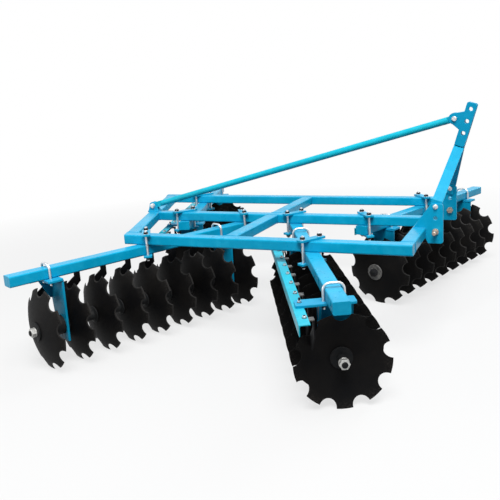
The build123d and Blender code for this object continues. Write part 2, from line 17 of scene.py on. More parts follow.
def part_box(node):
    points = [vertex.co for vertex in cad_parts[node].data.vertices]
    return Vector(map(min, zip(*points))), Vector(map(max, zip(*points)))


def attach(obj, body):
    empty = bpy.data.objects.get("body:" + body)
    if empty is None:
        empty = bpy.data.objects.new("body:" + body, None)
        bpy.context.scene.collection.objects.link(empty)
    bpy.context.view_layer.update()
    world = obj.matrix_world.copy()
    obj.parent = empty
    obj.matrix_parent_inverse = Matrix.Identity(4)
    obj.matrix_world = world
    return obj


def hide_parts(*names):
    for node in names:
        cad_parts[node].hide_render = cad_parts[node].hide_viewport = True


bpy.context.scene.view_settings.view_transform = "Standard"
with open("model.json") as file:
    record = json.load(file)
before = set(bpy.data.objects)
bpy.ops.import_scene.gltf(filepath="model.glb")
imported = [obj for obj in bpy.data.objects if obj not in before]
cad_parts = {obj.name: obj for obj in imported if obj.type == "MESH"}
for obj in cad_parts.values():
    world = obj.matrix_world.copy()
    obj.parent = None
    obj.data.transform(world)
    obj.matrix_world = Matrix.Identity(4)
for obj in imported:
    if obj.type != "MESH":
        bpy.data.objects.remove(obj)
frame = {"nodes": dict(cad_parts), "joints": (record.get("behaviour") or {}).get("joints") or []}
chance = random.Random(7)
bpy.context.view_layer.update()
nodes = frame["nodes"]

# Camera, solved from the photo's straight edges
camera_place = Vector((1.6687, -3.8693, 1.4127))
camera_back = Vector((0.36631, -0.90485, 0.21696)).normalized()
camera_up_hint = Vector((-0.0303, 0.2215, 0.9747))
camera_lens = 44.73
camera_shift = (-0.0718, -0.0324)
sensor_width = 36.0

# Tubes and plates
tube_width = 0.080
tube_height = 0.060
rail_pitch = 0.7175
frame_length = 1.777
rear_beam_angle = 22.3
mid_member_x = 0.656
top_plate_thickness = 0.012
top_plate_width = 0.085
web_thickness = 0.012
web_top_forward = 0.096
web_top_back = 0.078
gusset_thickness = 0.012
gusset_width = 0.070
gusset_drop = 0.122

# Discs and axles
disc_radius = 0.230
disc_thickness = 0.005
disc_depth = 0.050
disc_flat_radius = 0.056
disc_bulge_share = 0.36
disc_pitch = 0.170
notch_count = 9
notch_radius = 0.042
notch_centre_radius = 0.233
notch_phase = -70.0
notch_steps = 12
tooth_steps = 6
disc_bevel = 0.005
disc_edge_share = 0.3
dish_rings = (0.018, 0.040, disc_flat_radius, 0.074, 0.096, 0.122, 0.150, 0.170, 0.183)
spool_radius = 0.030
spool_flange_radius = 0.050
spool_flange_thickness = 0.007
spool_flange_corner = 0.001
spool_flange_bevel = 0.0015
spool_cone_length = 0.006
spool_cone_foot = 0.008
spool_cone_top = 0.002
spool_fillet = 0.004
spool_steps = 40
end_washer_radius = 0.054
end_washer_thickness = 0.009
end_washer_corner = 0.0015
end_washer_steps = 48
nut_collar_share = 0.56
nut_collar_thickness = 0.003
nut_collar_corner = 0.0006
collar_steps = 32
axle_nut_across = 0.046
axle_nut_length = 0.026
axle_stub_radius = 0.015
axle_stub_length = 0.006
axle_thread_pitch = 0.002
axle_thread_steps = 24
end_sleeve_radius = 0.022
end_sleeve_length = 0.050
end_sleeve_corner = 0.001
axle_height = disc_radius

# Places of the gang beams above and behind the axles
axle_drop = 0.2765
axle_forward = 0.024
beam_bottom = axle_height + axle_drop
beam_top = beam_bottom + tube_height
rail_top = beam_top + tube_height
plate_bottom = beam_bottom - top_plate_thickness

# Standards, U bolts and clamps
standard_from_rim = 0.075
housing_radius = 0.054
housing_length = 0.068
housing_cover = 0.0006
housing_bore_gap = 0.0015
housing_corner = 0.004
housing_steps = 48
u_bolt_radius = 0.007
u_bolt_gap = 0.001
u_bolt_half = tube_width / 2 + u_bolt_gap + u_bolt_radius
u_bolt_rise = 0.030
u_bolt_bend = 0.032
u_bolt_tail = 0.026
u_bolt_from_web = 0.045
u_bolt_bend_steps = 9
u_bolt_steps = 16
u_washer_radius = 0.0135
u_washer_thickness = 0.0025
u_nut_across = 0.022
u_nut_height = 0.012
u_thread_proud = 0.0002
clamp_bar_thickness = 0.012
clamp_bolt_radius = 0.008
clamp_bolt_gap = 0.004
clamp_bolt_out = tube_width / 2 + clamp_bolt_gap + clamp_bolt_radius
clamp_nut_across = 0.027
clamp_nut_height = 0.014
clamp_washer_radius = 0.0155
clamp_washer_thickness = 0.0028
clamp_bolt_tail = 0.008
clamp_bolt_inset = 0.001
clamp_bolt_steps = 20
clamp_thread_proud = 0.0003

# Scraper bars
angle_leg = 0.050
angle_thickness = 0.005
angle_corner = 0.002
angle_root = 0.004
angle_back = 0.140
angle_past_scrapers = 0.083
angle_from_inner_end = 0.006
scraper_thickness = 0.006
scraper_width = 0.036
scraper_from_rim = 0.106
scraper_foot_length = 0.052
scraper_foot_corner = 0.008
scraper_lean_start = 0.044
scraper_tip_drops = (0.112, 0.180)
scraper_tip_gap = 0.005
scraper_tip_width = 0.042
scraper_bolt_back = 0.015
scraper_bolt_plate_reach = 0.012
scraper_bolt_plate_edge = 0.016
scraper_washer_radius = 0.0115
scraper_washer_thickness = 0.0018
scraper_nut_across = 0.016
scraper_nut_height = 0.008
scraper_thread_radius = 0.0055
scraper_thread_long = 0.012
scraper_thread_short = 0.002

# Hitch and mast
hitch_span = 0.683
hitch_plate_thickness = 0.012
hitch_plate_foot = 0.072
lower_pin_reach = 0.056
mast_foot_height = 0.126
mast_bar_thickness = 0.012
ear_base_margin = 0.010
hitch_washer_thickness = 0.003
foot_washer_radius = 0.0145
foot_nut_across = 0.019
foot_nut_height = 0.009
foot_thread_radius = 0.0078
foot_thread_length = 0.010
mast_pin_washer_radius = 0.0145
clip_radius = 0.0022
clip_length = 0.034
clip_behind = 0.016
clip_stands_out = 0.0075
clip_below = 0.004
clip_direction = Vector((0.97, 0, 0.24))
clip_steps = 12
brace_washer_radius = 0.019
brace_nut_across = 0.030
brace_nut_height = 0.010

# Degrees between faces from which an edge is shaded sharp
sharp_angle = 32.0

# Washers, nuts and threads
washer_corner = 0.0008
washer_steps = 28
nut_top_share = 0.99
thread_pitch = 0.0022
thread_steps = 16
thread_crest = 0.15
thread_root = 0.65
thread_root_share = 0.90
thread_point_share = 0.82

# Weld beads
bead_step = 0.005
bead_steps_round = 8
bead_least_share = 0.90
bead_ripple_share = 0.16
bead_chance_share = 0.12
bead_end_share = 0.5
bead_inset = 0.0025
top_plate_bead = 0.0035
gusset_bead = 0.003
tube_bead = 0.0042
hitch_bead = 0.0040
bracket_bead = 0.0035

# Light, floor and backdrop
sky_strength = 0.22
floor_radius = 40.0
floor_steps = 96
floor_fade = (2.6, 5.5)
floor_glow = 0.70

# Lamps, by name: place, aim, size, watts
lamps = {
    "key": ((2.0, -4.3, 7.9), (0.0, 0.0, 0.5), 5.4, 1080),
    "rear": ((3.2, 5.0, 4.5), (0.0, 0.0, 0.5), 5.0, 220),
    "side": ((-4.5, -3.5, 1.8), (-0.3, -0.5, 0.4), 2.5, 60),
}

# Gangs, by name: side (1 is left), hollow side (1 is outward), discs, first rim from the beam's inner end
gang_rows = {
    "front_right": (-1, 1, 9, 0.263),
    "front_left": (1, 1, 9, 0.176),
    "rear_right": (-1, -1, 9, 0.248),
    "rear_left": (1, -1, 10, 0.140),
}

FORWARD = Vector((1, 0, 0))
LEFT = Vector((0, 1, 0))
UP = Vector((0, 0, 1))


def frame_of(place, x, y, z):
    """Local directions x, y and z set at a place."""
    made = Matrix((x, y, z)).transposed().to_4x4()
    made.translation = place
    return made


class Gang:
    """Turns distances along, behind and above a gang's beam into places, from its packed joint."""

    def __init__(self, joint):
        self.name = joint["name"].removeprefix("spin_")
        self.side, self.hollow, self.discs, first_rim = gang_rows[self.name]
        self.body = joint["child"]
        self.out = Vector(joint["axis"])
        self.back = Vector((-self.out.y, self.out.x, 0)) * self.side
        self.rims = [first_rim + disc_pitch * i for i in range(self.discs)]
        middle = (self.rims[0] + self.rims[-1]) / 2 - self.hollow * disc_depth
        level = Vector((joint["pos_m"][0], joint["pos_m"][1], 0))
        self.inner = level - self.out * middle + self.back * axle_forward
        self.webs = [self.rims[0] + standard_from_rim, self.rims[-2] + standard_from_rim]

    def spot(self, out, back, height):
        """A place by its distance out from the beam's inner end, back from its middle, and height."""
        return self.inner + self.out * out + self.back * back + Vector((0, 0, height))

    def crossing(self, rail_y):
        """How far out the beam's middle passes below a place across the machine."""
        return (rail_y - self.inner.y) / self.out.y

    def on_axle(self, out, way=1):
        """Directions with z along the axle, outward or, with way -1, inward."""
        return frame_of(self.spot(out, -axle_forward, axle_height), self.back, UP, self.out * way)

    def upright(self, out, back, height, way=1):
        """Directions with x outward, y backward and z up, or down with way -1."""
        return frame_of(self.spot(out, back, height), self.out, self.back, UP * way)

    def clamp_corners(self, rail_y):
        """The two clamp bolts of a crossing, where rail and beam make a blunt angle."""
        middle = self.spot(self.crossing(rail_y), 0, 0)
        reach = clamp_bolt_out * (1 - abs(self.out.x)) / abs(self.out.y)
        turn = 1 if self.out.x * self.out.y > 0 else -1
        return [middle + Vector((-turn * k * reach, k * clamp_bolt_out, 0)) for k in (1, -1)]


gangs = [Gang(joint) for joint in frame["joints"]]
centre_line_y = sum(corner.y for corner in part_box("rail_centre")) / 2
frame_origin = Vector((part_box("rail_right")[1].x - frame_length, centre_line_y, 0))


# Camera
def make_camera():
    """The photo's point of view."""
    data = bpy.data.cameras.new("camera")
    data.lens = camera_lens
    data.sensor_width = sensor_width
    data.shift_x, data.shift_y = camera_shift
    right = camera_up_hint.cross(camera_back).normalized()
    up = camera_back.cross(right)
    camera = bpy.data.objects.new("camera", data)
    camera.matrix_world = frame_of(camera_place, right, up, camera_back)
    bpy.context.scene.collection.objects.link(camera)
    bpy.context.scene.camera = camera


make_camera()


# Materials
class Shader:
    """A new material, with its nodes made and linked by short calls."""

    def __init__(self, name):
        self.material = bpy.data.materials.new(name)
        self.material.use_nodes = True
        self.tree = self.material.node_tree
        self.surface = self.tree.nodes["Principled BSDF"]

    def node(self, kind, settings=(), **inputs):
        """A node with its settings and inputs; an input is a value or another node's output."""
        made = self.tree.nodes.new(kind)
        for key, value in dict(settings).items():
            setattr(made, key, value)
        for key, value in inputs.items():
            socket = made.inputs[int(key[1:])] if key[0] == "i" and key[1:].isdigit() else made.inputs[key]
            self.put(socket, value)
        return made

    def put(self, socket, value):
        if isinstance(value, bpy.types.NodeSocket):
            self.tree.links.new(value, socket)
        else:
            socket.default_value = value

    def noise(self, scale, detail=3.0, roughness=0.5, vector=None):
        made = self.node("ShaderNodeTexNoise", Scale=scale, Detail=detail, Roughness=roughness)
        self.put(made.inputs["Vector"], vector or self.place())
        return made.outputs["Fac"]

    def place(self):
        """Places on the object itself, so that a finish turns with its body."""
        return self.node("ShaderNodeTexCoord").outputs["Object"]

    def ramp(self, value, low, high, to_low=0.0, to_high=1.0):
        made = self.node("ShaderNodeMapRange", i0=value, i1=low, i2=high, i3=to_low, i4=to_high)
        return made.outputs[0]

    def math(self, operation, a, b=0.0):
        return self.node("ShaderNodeMath", {"operation": operation}, i0=a, i1=b).outputs[0]

    def mix(self, share, a, b):
        """A colour between a and b."""
        made = self.node("ShaderNodeMix", {"data_type": "RGBA"})
        for socket, value in ((0, share), (6, a), (7, b)):
            self.put(made.inputs[socket], value)
        return made.outputs[2]

    def bump(self, height, strength, distance, normal=None):
        made = self.node("ShaderNodeBump", Height=height, Strength=strength, Distance=distance)
        if normal is not None:
            self.put(made.inputs["Normal"], normal)
        return made.outputs["Normal"]

    def rounded(self, radius):
        """The normal with edges rounded, and how much of an edge a spot is."""
        soft = self.node("ShaderNodeBevel", {"samples": 6}, Radius=radius).outputs["Normal"]
        flat = self.node("ShaderNodeNewGeometry").outputs["Normal"]
        turned = self.node("ShaderNodeVectorMath", {"operation": "DOT_PRODUCT"}, i0=soft, i1=flat)
        return soft, self.ramp(turned.outputs["Value"], 0.995, 0.80)


def rgb(*values):
    return (*values, 1.0)


def paint(name, colour, pale, roughness=0.30):
    """Glossy machine paint: uneven coats, orange peel, edges paler partly as rubbed paint and partly as
    painted highlight, and a little dust on what faces up.
    """
    shader = Shader(name)
    soft, edge = shader.rounded(0.004)
    broad = shader.noise(3.0, 2.0)
    cloudy = shader.noise(22.0, 4.0, 0.6)
    coat = shader.mix(shader.ramp(broad, 0.35, 0.65), colour, rgb(*(c * 0.86 for c in colour[:3])))
    coat = shader.mix(shader.ramp(cloudy, 0.45, 0.8, 0.0, 0.30), coat, pale)
    # Edges go paler: partly rubbed paint, partly a painted highlight along every edge
    rubbed = shader.math("MULTIPLY", edge, shader.ramp(shader.noise(60.0, 5.0, 0.7), 0.42, 0.62, 0.25, 0.9))
    coat = shader.mix(rubbed, coat, pale)
    bare = shader.math("MULTIPLY", edge, shader.ramp(shader.noise(95.0, 6.0, 0.75), 0.62, 0.66))
    coat = shader.mix(bare, coat, rgb(0.19, 0.20, 0.21))
    upward = shader.node("ShaderNodeSeparateXYZ", i0=shader.node("ShaderNodeNewGeometry").outputs["Normal"])
    dust = shader.math("MULTIPLY", shader.ramp(upward.outputs["Z"], 0.7, 1.0), shader.noise(9.0, 6.0, 0.65))
    coat = shader.mix(shader.math("MULTIPLY", dust, 0.05), coat, rgb(0.50, 0.62, 0.64))
    shader.put(shader.surface.inputs["Base Color"], coat)
    gloss = shader.ramp(shader.noise(14.0, 5.0, 0.6), 0.3, 0.7, roughness - 0.07, roughness + 0.12)
    shader.put(shader.surface.inputs["Roughness"], gloss)
    peel = shader.bump(shader.noise(420.0, 2.0), 0.08, 0.0003, soft)
    shader.put(shader.surface.inputs["Normal"], shader.bump(cloudy, 0.06, 0.0012, peel))
    shader.surface.inputs["Specular IOR Level"].default_value = 0.15
    return shader.material


def metal(name, colour, dark, roughness, metallic=0.0, speck=240.0, wear=0.5, shine=0.5):
    """Plated or bare steel with smears, fine scratches, darker spots and a painted highlight along its
    edges.
    """
    shader = Shader(name)
    soft, edge = shader.rounded(0.0015)
    spots = shader.noise(70.0, 5.0, 0.65)
    tone = shader.mix(shader.ramp(spots, 0.42, 0.68, 0.0, wear), colour, dark)
    # Edges go lighter: a painted highlight
    edge_highlight = rgb(*(min(1.0, c * 1.6 + 0.004) for c in colour[:3]))
    tone = shader.mix(shader.math("MULTIPLY", edge, 0.4), tone, edge_highlight)
    shader.put(shader.surface.inputs["Base Color"], tone)
    smear = shader.ramp(shader.noise(35.0, 4.0, 0.6), 0.3, 0.7, roughness - 0.08, roughness + 0.15)
    shader.put(shader.surface.inputs["Roughness"], smear)
    grain = shader.bump(shader.noise(speck, 4.0, 0.6), 0.25, 0.0006, soft)
    shader.put(shader.surface.inputs["Normal"], grain)
    shader.surface.inputs["Metallic"].default_value = metallic
    shader.surface.inputs["Specular IOR Level"].default_value = shine
    return shader.material


def disc_steel(name, colour, rub, roughness):
    """Black disc steel: rolled skin with turned rings, dull smears and brownish rubbed patches."""
    shader = Shader(name)
    place = shader.place()
    smoke = shader.noise(7.0, 5.0, 0.6, place)
    fine = shader.noise(160.0, 5.0, 0.7, place)
    ring = shader.node("ShaderNodeAttribute", {"attribute_name": "ring"}).outputs["Fac"]
    turned = shader.node("ShaderNodeCombineXYZ", i0=shader.math("MULTIPLY", ring, 60.0), i1=smoke)
    rings = shader.noise(9.0, 2.0, 0.5, turned.outputs[0])
    tone = shader.mix(shader.ramp(smoke, 0.35, 0.72, 0.0, 0.75), colour, rub)
    tone = shader.mix(shader.ramp(rings, 0.5, 0.8, 0.0, 0.30), tone, rub)
    scuffs = shader.math("MULTIPLY", shader.ramp(ring, 0.80, 1.0), shader.ramp(fine, 0.5, 0.62))
    tone = shader.mix(shader.math("MULTIPLY", scuffs, 0.5), tone, rgb(0.050, 0.045, 0.040))
    shader.put(shader.surface.inputs["Base Color"], tone)
    dull = shader.ramp(fine, 0.3, 0.7, roughness - 0.06, roughness + 0.14)
    shader.put(shader.surface.inputs["Roughness"], dull)
    grain = shader.bump(fine, 0.2, 0.0005)
    shader.put(shader.surface.inputs["Normal"], shader.bump(rings, 0.12, 0.0015, grain))
    shader.surface.inputs["Specular IOR Level"].default_value = 0.06
    return shader.material


blue = paint("blue_paint", rgb(0.001, 0.345, 0.580), rgb(0.030, 0.50, 0.72))
# A darker copy of the blue paint, as painted shade, for the standards and the mast cheeks
blue_shaded = paint("blue_paint_shaded", rgb(0.001, 0.290, 0.500), rgb(0.010, 0.39, 0.62), 0.36)
# A lighter copy of the blue paint, as painted light, for the scraper bars and the top brace
blue_lit = paint("blue_paint_lit", rgb(0.004, 0.410, 0.550), rgb(0.045, 0.58, 0.68), 0.34)
weld_paint = paint("blue_paint_weld", rgb(0.001, 0.270, 0.500), rgb(0.010, 0.38, 0.62), 0.40)
zinc = metal("zinc", rgb(0.70, 0.71, 0.73), rgb(0.34, 0.33, 0.31), 0.30, metallic=0.80, wear=0.6)
yellow_zinc = metal(
    "yellow_zinc", rgb(0.62, 0.50, 0.41), rgb(0.20, 0.14, 0.10), 0.34, metallic=0.6, wear=0.9
)
black_bolt = metal("black_bolt", rgb(0.018, 0.018, 0.020), rgb(0.008, 0.008, 0.008), 0.45, shine=0.12)
bare_steel = metal("bare_steel", rgb(0.52, 0.52, 0.50), rgb(0.22, 0.21, 0.19), 0.36, metallic=0.6)
cast = metal(
    "cast_black", rgb(0.010, 0.011, 0.012), rgb(0.024, 0.022, 0.020), 0.55, speck=120.0, shine=0.08
)
# A paler copy of the cast finish, as painted light, for the scrapers' feet and the inner end washers
cast_painted_light = metal(
    "cast_painted_light", rgb(0.10, 0.10, 0.10), rgb(0.24, 0.23, 0.21), 0.42, 0.4, speck=60.0, wear=0.9, shine=0.4
)
scraper_steel = metal(
    "scraper_steel", rgb(0.006, 0.006, 0.007), rgb(0.016, 0.015, 0.014), 0.55, speck=160.0, shine=0.06
)
disc_black = disc_steel("disc_black", rgb(0.0030, 0.0031, 0.0036), rgb(0.0100, 0.0090, 0.0082), 0.55)
disc_edge = metal("disc_edge", rgb(0.022, 0.021, 0.020), rgb(0.006, 0.006, 0.006), 0.50, shine=0.10)


def finish_of(node):
    """The material of a CAD node."""
    # Standards and mast cheeks take the darker copy of the blue paint: painted shade
    if node.startswith(("standards", "mast_cheek")):
        return blue_shaded
    # Scraper bars and the top brace take the lighter copy of the blue paint: painted light
    if node.startswith(("scraper", "top_brace")):
        return blue_lit
    if node.startswith("lower_pin"):
        return yellow_zinc
    if node.startswith(("fasteners", "mast_pin", "brace_bolt")):
        return zinc
    if node.startswith("axle"):
        return cast
    if node.startswith("discs"):
        return disc_black
    return blue


for name, node in nodes.items():
    node.data.materials.clear()
    node.data.materials.append(finish_of(name))


# Small shapes, as points and faces in their own directions
def lathe(profile, steps, closed=False):
    """Turned about z from (radius, height) pairs. A radius of zero closes an end."""
    points = []
    rings = []
    for radius, height in profile:
        if radius == 0:
            rings.append([len(points)] * steps)
            points.append((0, 0, height))
        else:
            rings.append([len(points) + i for i in range(steps)])
            turns = [2 * pi * i / steps for i in range(steps)]
            points += [(radius * cos(turn), radius * sin(turn), height) for turn in turns]
    faces = []
    for low, high in zip(rings, rings[1:] + (rings[:1] if closed else [])):
        for i in range(steps):
            after = (i + 1) % steps
            corners = list(dict.fromkeys((low[i], low[after], high[after], high[i])))
            if len(corners) > 2:
                faces.append(corners)
    return points, faces


def band(low, high, count):
    """The faces between two rings of points, from the number of each ring's first point."""
    faces = []
    for i in range(count):
        after = (i + 1) % count
        faces.append([low + i, low + after, high + after, high + i])
    return faces


def prism(outline, height):
    """A flat outline with straight sides."""
    count = len(outline)
    points = [(x, y, z) for z in (0, height) for x, y in outline]
    faces = [list(range(count)), list(range(count, 2 * count))]
    return points, faces + band(0, count, count)


def hexagon(across, height):
    """A bolt head or nut with its upper corners turned off."""
    flat = across / 2
    corner = flat / cos(pi / 6)
    cut = (corner - flat) * tan(pi / 6)
    # radius and height at a corner and at the middle of a flat
    levels = (
        ((corner, 0.0), (flat, 0.0)),
        ((corner, height - cut), (flat, height)),
        ((flat, height), (flat * nut_top_share, height)),
    )
    points = []
    for level in levels:
        for i in range(12):
            radius, rise = level[i % 2]
            points.append((radius * cos(pi * i / 6), radius * sin(pi * i / 6), rise))
    faces = [list(range(12)), list(range(24, 36))]
    return points, faces + band(0, 12, 12) + band(12, 24, 12)


def bar(path, radii, across, steps):
    """A round bar along a path that is square to "across", with a radius for each point of the path."""
    points = []
    for i, here in enumerate(path):
        way = (path[min(i + 1, len(path) - 1)] - path[max(i - 1, 0)]).normalized()
        side = across.cross(way)
        turns = [2 * pi * k / steps for k in range(steps)]
        points += [here + (across * cos(turn) + side * sin(turn)) * radii[i] for turn in turns]
    last = steps * (len(path) - 1)
    faces = [list(range(steps)), list(range(last, last + steps))]
    for low in range(0, last, steps):
        faces += band(low, low + steps, steps)
    return points, faces


def rod(radius, low, high, steps):
    """A plain round rod along z."""
    return lathe([(0, low), (radius, low), (radius, high), (0, high)], steps)


def disk(radius, thickness, corner=washer_corner, steps=washer_steps):
    """A washer or plate with its edges broken."""
    low_half = [(0, 0), (radius - corner, 0), (radius, corner)]
    high_half = [(radius, thickness - corner), (radius - corner, thickness), (0, thickness)]
    return lathe(low_half + high_half, steps)


def thread(radius, length, pitch=thread_pitch, steps=thread_steps):
    """A threaded end, with its point turned off."""
    turns = max(2, int(length / pitch))
    profile = [(0, 0)]
    for i in range(turns):
        profile.append((radius, length * (i + thread_crest) / turns))
        profile.append((radius * thread_root_share, length * (i + thread_root) / turns))
    return lathe(profile + [(radius * thread_point_share, length), (0, length)], steps)


class Piece:
    """Gathers shapes into one object, with a material for each face."""

    def __init__(self, name, *materials):
        self.name = name
        self.materials = materials
        self.points = []
        self.faces = []
        self.finishes = []

    def add(self, place, shape, finish=None):
        """A shape at a place. Its finish is a material or a list with one for each face."""
        start = len(self.points)
        self.points += [place @ Vector(point) for point in shape[0]]
        self.faces += [[start + i for i in face] for face in shape[1]]
        if isinstance(finish, list):
            self.finishes += finish
        else:
            self.finishes += [finish or self.materials[0]] * len(shape[1])

    def stack(self, seat, *layers):
        """Shapes set on each other along z, as (shape, height, finish)."""
        rise = 0.0
        for shape, height, finish in layers:
            self.add(seat @ Matrix.Translation((0, 0, rise)), shape, finish)
            rise += height

    def bead(self, start, end, radius):
        """A lumpy weld bead from one place to another."""
        way = end - start
        steep = abs(way.normalized().z) > 0.9
        across = FORWARD if steep else UP
        across = (across - way * (across.dot(way) / way.length_squared)).normalized()
        steps = max(3, round(way.length / bead_step))
        path = [start + way * (i / steps) for i in range(steps + 1)]
        radii = []
        for i in range(steps + 1):
            ripple = bead_ripple_share * (i % 2) + bead_chance_share * chance.random()
            radii.append(radius * (bead_least_share + ripple))
        radii[0] = radii[-1] = radius * bead_end_share
        self.add(Matrix(), bar(path, radii, across, bead_steps_round))

    def bead_round(self, corners, radius):
        """Weld beads from corner to corner and back to the first."""
        for start, end in zip(corners, corners[1:] + corners[:1]):
            self.bead(start, end, radius)

    def make(self, body, replaced=(), shares=None):
        """The object, on its body. Shares hold each point's part of a disc's radius."""
        mesh = bpy.data.meshes.new(self.name)
        mesh.from_pydata(self.points, [], self.faces)
        for material in self.materials:
            mesh.materials.append(material)
        numbers = {material: i for i, material in enumerate(self.materials)}
        mesh.polygons.foreach_set("material_index", [numbers[finish] for finish in self.finishes])
        mesh.polygons.foreach_set("use_smooth", [True] * len(self.faces))
        solid = bmesh.new()
        solid.from_mesh(mesh)
        bmesh.ops.recalc_face_normals(solid, faces=solid.faces)
        solid.to_mesh(mesh)
        solid.free()
        mesh.set_sharp_from_angle(angle=radians(sharp_angle))
        if shares:
            mesh.attributes.new("ring", "FLOAT", "POINT").data.foreach_set("value", shares)
        made = bpy.data.objects.new(self.name, mesh)
        bpy.context.scene.collection.objects.link(made)
        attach(made, body)
        if replaced:
            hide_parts(*replaced)


# Discs
dish_bottom = (0.0, disc_flat_radius)
dish_middle = (disc_depth * disc_bulge_share, (disc_radius + disc_flat_radius) / 2)
dish_rim = (disc_depth, disc_radius)


def circle_through(a, b, c):
    """The middle and radius of a circle through three points."""
    twice = 2 * (a[0] * (b[1] - c[1]) + b[0] * (c[1] - a[1]) + c[0] * (a[1] - b[1]))
    aa, bb, cc = (p[0] ** 2 + p[1] ** 2 for p in (a, b, c))
    x = (aa * (b[1] - c[1]) + bb * (c[1] - a[1]) + cc * (a[1] - b[1])) / twice
    y = (aa * (c[0] - b[0]) + bb * (a[0] - c[0]) + cc * (b[0] - a[0])) / twice
    return x, y, sqrt((a[0] - x) ** 2 + (a[1] - y) ** 2)


dish_centre = circle_through(dish_bottom, dish_middle, dish_rim)


def dish(radius):
    """How far the hollow side stands out at a radius."""
    if radius <= disc_flat_radius:
        return 0.0
    return dish_centre[0] - sqrt(dish_centre[2] ** 2 - (radius - dish_centre[1]) ** 2)


def disc_columns():
    """The disc's edge and the inner line of its bevel, as (radius, turn, bevel radius, bevel turn)."""
    period = 2 * pi / notch_count
    squares = notch_centre_radius**2 + notch_radius**2 - disc_radius**2
    half_sweep = acos(squares / (2 * notch_centre_radius * notch_radius))
    corner = Vector((notch_centre_radius - notch_radius * cos(half_sweep), notch_radius * sin(half_sweep)))
    corner_turn = atan2(corner.y, corner.x)
    columns = []
    for k in range(notch_count):
        base = radians(notch_phase) + k * period
        for i in range(notch_steps + 1):
            sweep = half_sweep * (2 * i / notch_steps - 1)
            toward = Vector((-cos(sweep), sin(sweep)))
            edge = Vector((notch_centre_radius, 0)) + toward * notch_radius
            if i in (0, notch_steps):
                radial = edge.normalized()
                inward = (toward - radial) / (1 - toward.dot(radial))
                bevel = edge + inward * disc_bevel
            else:
                bevel = edge + toward * disc_bevel
            turn = base + atan2(edge.y, edge.x)
            columns.append((edge.length, turn, bevel.length, base + atan2(bevel.y, bevel.x)))
        for i in range(1, tooth_steps):
            turn = base + corner_turn + (period - 2 * corner_turn) * i / tooth_steps
            columns.append((disc_radius, turn, disc_radius - disc_bevel, turn))
    return columns


def blade_shape(hollow):
    """One disc about the middle of its hub face, its points' shares of the radius and its finishes."""
    columns = disc_columns()
    rings = [[(radius, c[1], dish(radius)) for c in columns] for radius in dish_rings]
    rings.append([(c[0], c[1], dish(c[0])) for c in columns])
    rings.append([(c[0], c[1], dish(c[0]) - disc_thickness * disc_edge_share) for c in columns])
    rings.append([(c[2], c[3], dish(c[2]) - disc_thickness) for c in columns])
    for radius in dish_rings[::-1]:
        rings.append([(radius, c[1], dish(radius) - disc_thickness) for c in columns])
    points = [(r * cos(turn), r * sin(turn), hollow * z) for ring in rings for r, turn, z in ring]
    shares = [r / disc_radius for ring in rings for r, turn, z in ring]
    edge_levels = (len(dish_rings), len(dish_rings) + 1)
    count = len(columns)
    faces = []
    finishes = []
    for level in range(len(rings)):
        faces += band(level * count, (level + 1) % len(rings) * count, count)
        finishes += [disc_edge if level in edge_levels else disc_black] * count
    return (points, faces), shares, finishes


def make_blades(gang):
    """A gang's notched and dished discs, with bare edges."""
    shape, shares, finishes = blade_shape(gang.hollow)
    blades = Piece(f"blades_{gang.name}", disc_black, disc_edge)
    for rim in gang.rims:
        blades.add(gang.on_axle(rim - gang.hollow * disc_depth), shape, finishes)
    blades.make(gang.body, [f"discs_{gang.name}"], shares * gang.discs)


# Axles and bearings
def spool_profile(length):
    """A spool's outline from one disc to the next."""
    neck = spool_flange_thickness + spool_cone_length
    half = [
        (0, 0),
        (spool_flange_radius - spool_flange_corner, 0),
        (spool_flange_radius, spool_flange_corner),
        (spool_flange_radius, spool_flange_thickness - spool_flange_bevel),
        (spool_flange_radius - spool_flange_bevel, spool_flange_thickness),
        (spool_radius + spool_cone_foot, neck - spool_fillet),
        (spool_radius + spool_cone_top, neck),
        (spool_radius, neck + spool_fillet),
    ]
    return half + [(radius, length - height) for radius, height in half[::-1]]


def make_hubs(gang):
    """Spools, and at each end a washer, nut and stub, with a sleeve where the disc's hollow faces out."""
    hubs = Piece(f"hubs_{gang.name}", cast, bare_steel, cast_painted_light, black_bolt)
    faces_at = [rim - gang.hollow * disc_depth for rim in gang.rims]
    lows = [min(face, face - gang.hollow * disc_thickness) for face in faces_at]
    highs = [max(face, face - gang.hollow * disc_thickness) for face in faces_at]
    for start, end in zip(highs, lows[1:]):
        hubs.add(gang.on_axle(start), lathe(spool_profile(end - start), spool_steps))
    washer = disk(end_washer_radius, end_washer_thickness, end_washer_corner, end_washer_steps)
    sleeve = disk(end_sleeve_radius, end_sleeve_length, end_sleeve_corner, collar_steps)
    collar = disk(axle_nut_across * nut_collar_share, nut_collar_thickness, nut_collar_corner, collar_steps)
    nut_height = axle_nut_length - nut_collar_thickness
    nut = hexagon(axle_nut_across, nut_height)
    stub = thread(axle_stub_radius, axle_stub_length, axle_thread_pitch, axle_thread_steps)
    # inner end, then outer end: place, way, finish of the washer, finish of the nut
    # The inner washer takes the paler cast finish: painted light
    ends = ((lows[0], -1, cast_painted_light, black_bolt), (highs[-1], 1, cast, bare_steel))
    for face, way, washer_finish, nut_finish in ends:
        layers = [(washer, end_washer_thickness, washer_finish)]
        if way == gang.hollow:
            layers.append((sleeve, end_sleeve_length, cast))
        layers.append((collar, nut_collar_thickness, nut_finish))
        layers.append((nut, nut_height, nut_finish))
        layers.append((stub, axle_stub_length, cast))
        hubs.stack(gang.on_axle(face, way), *layers)
    hubs.make(gang.body, [f"axle_{gang.name}"])


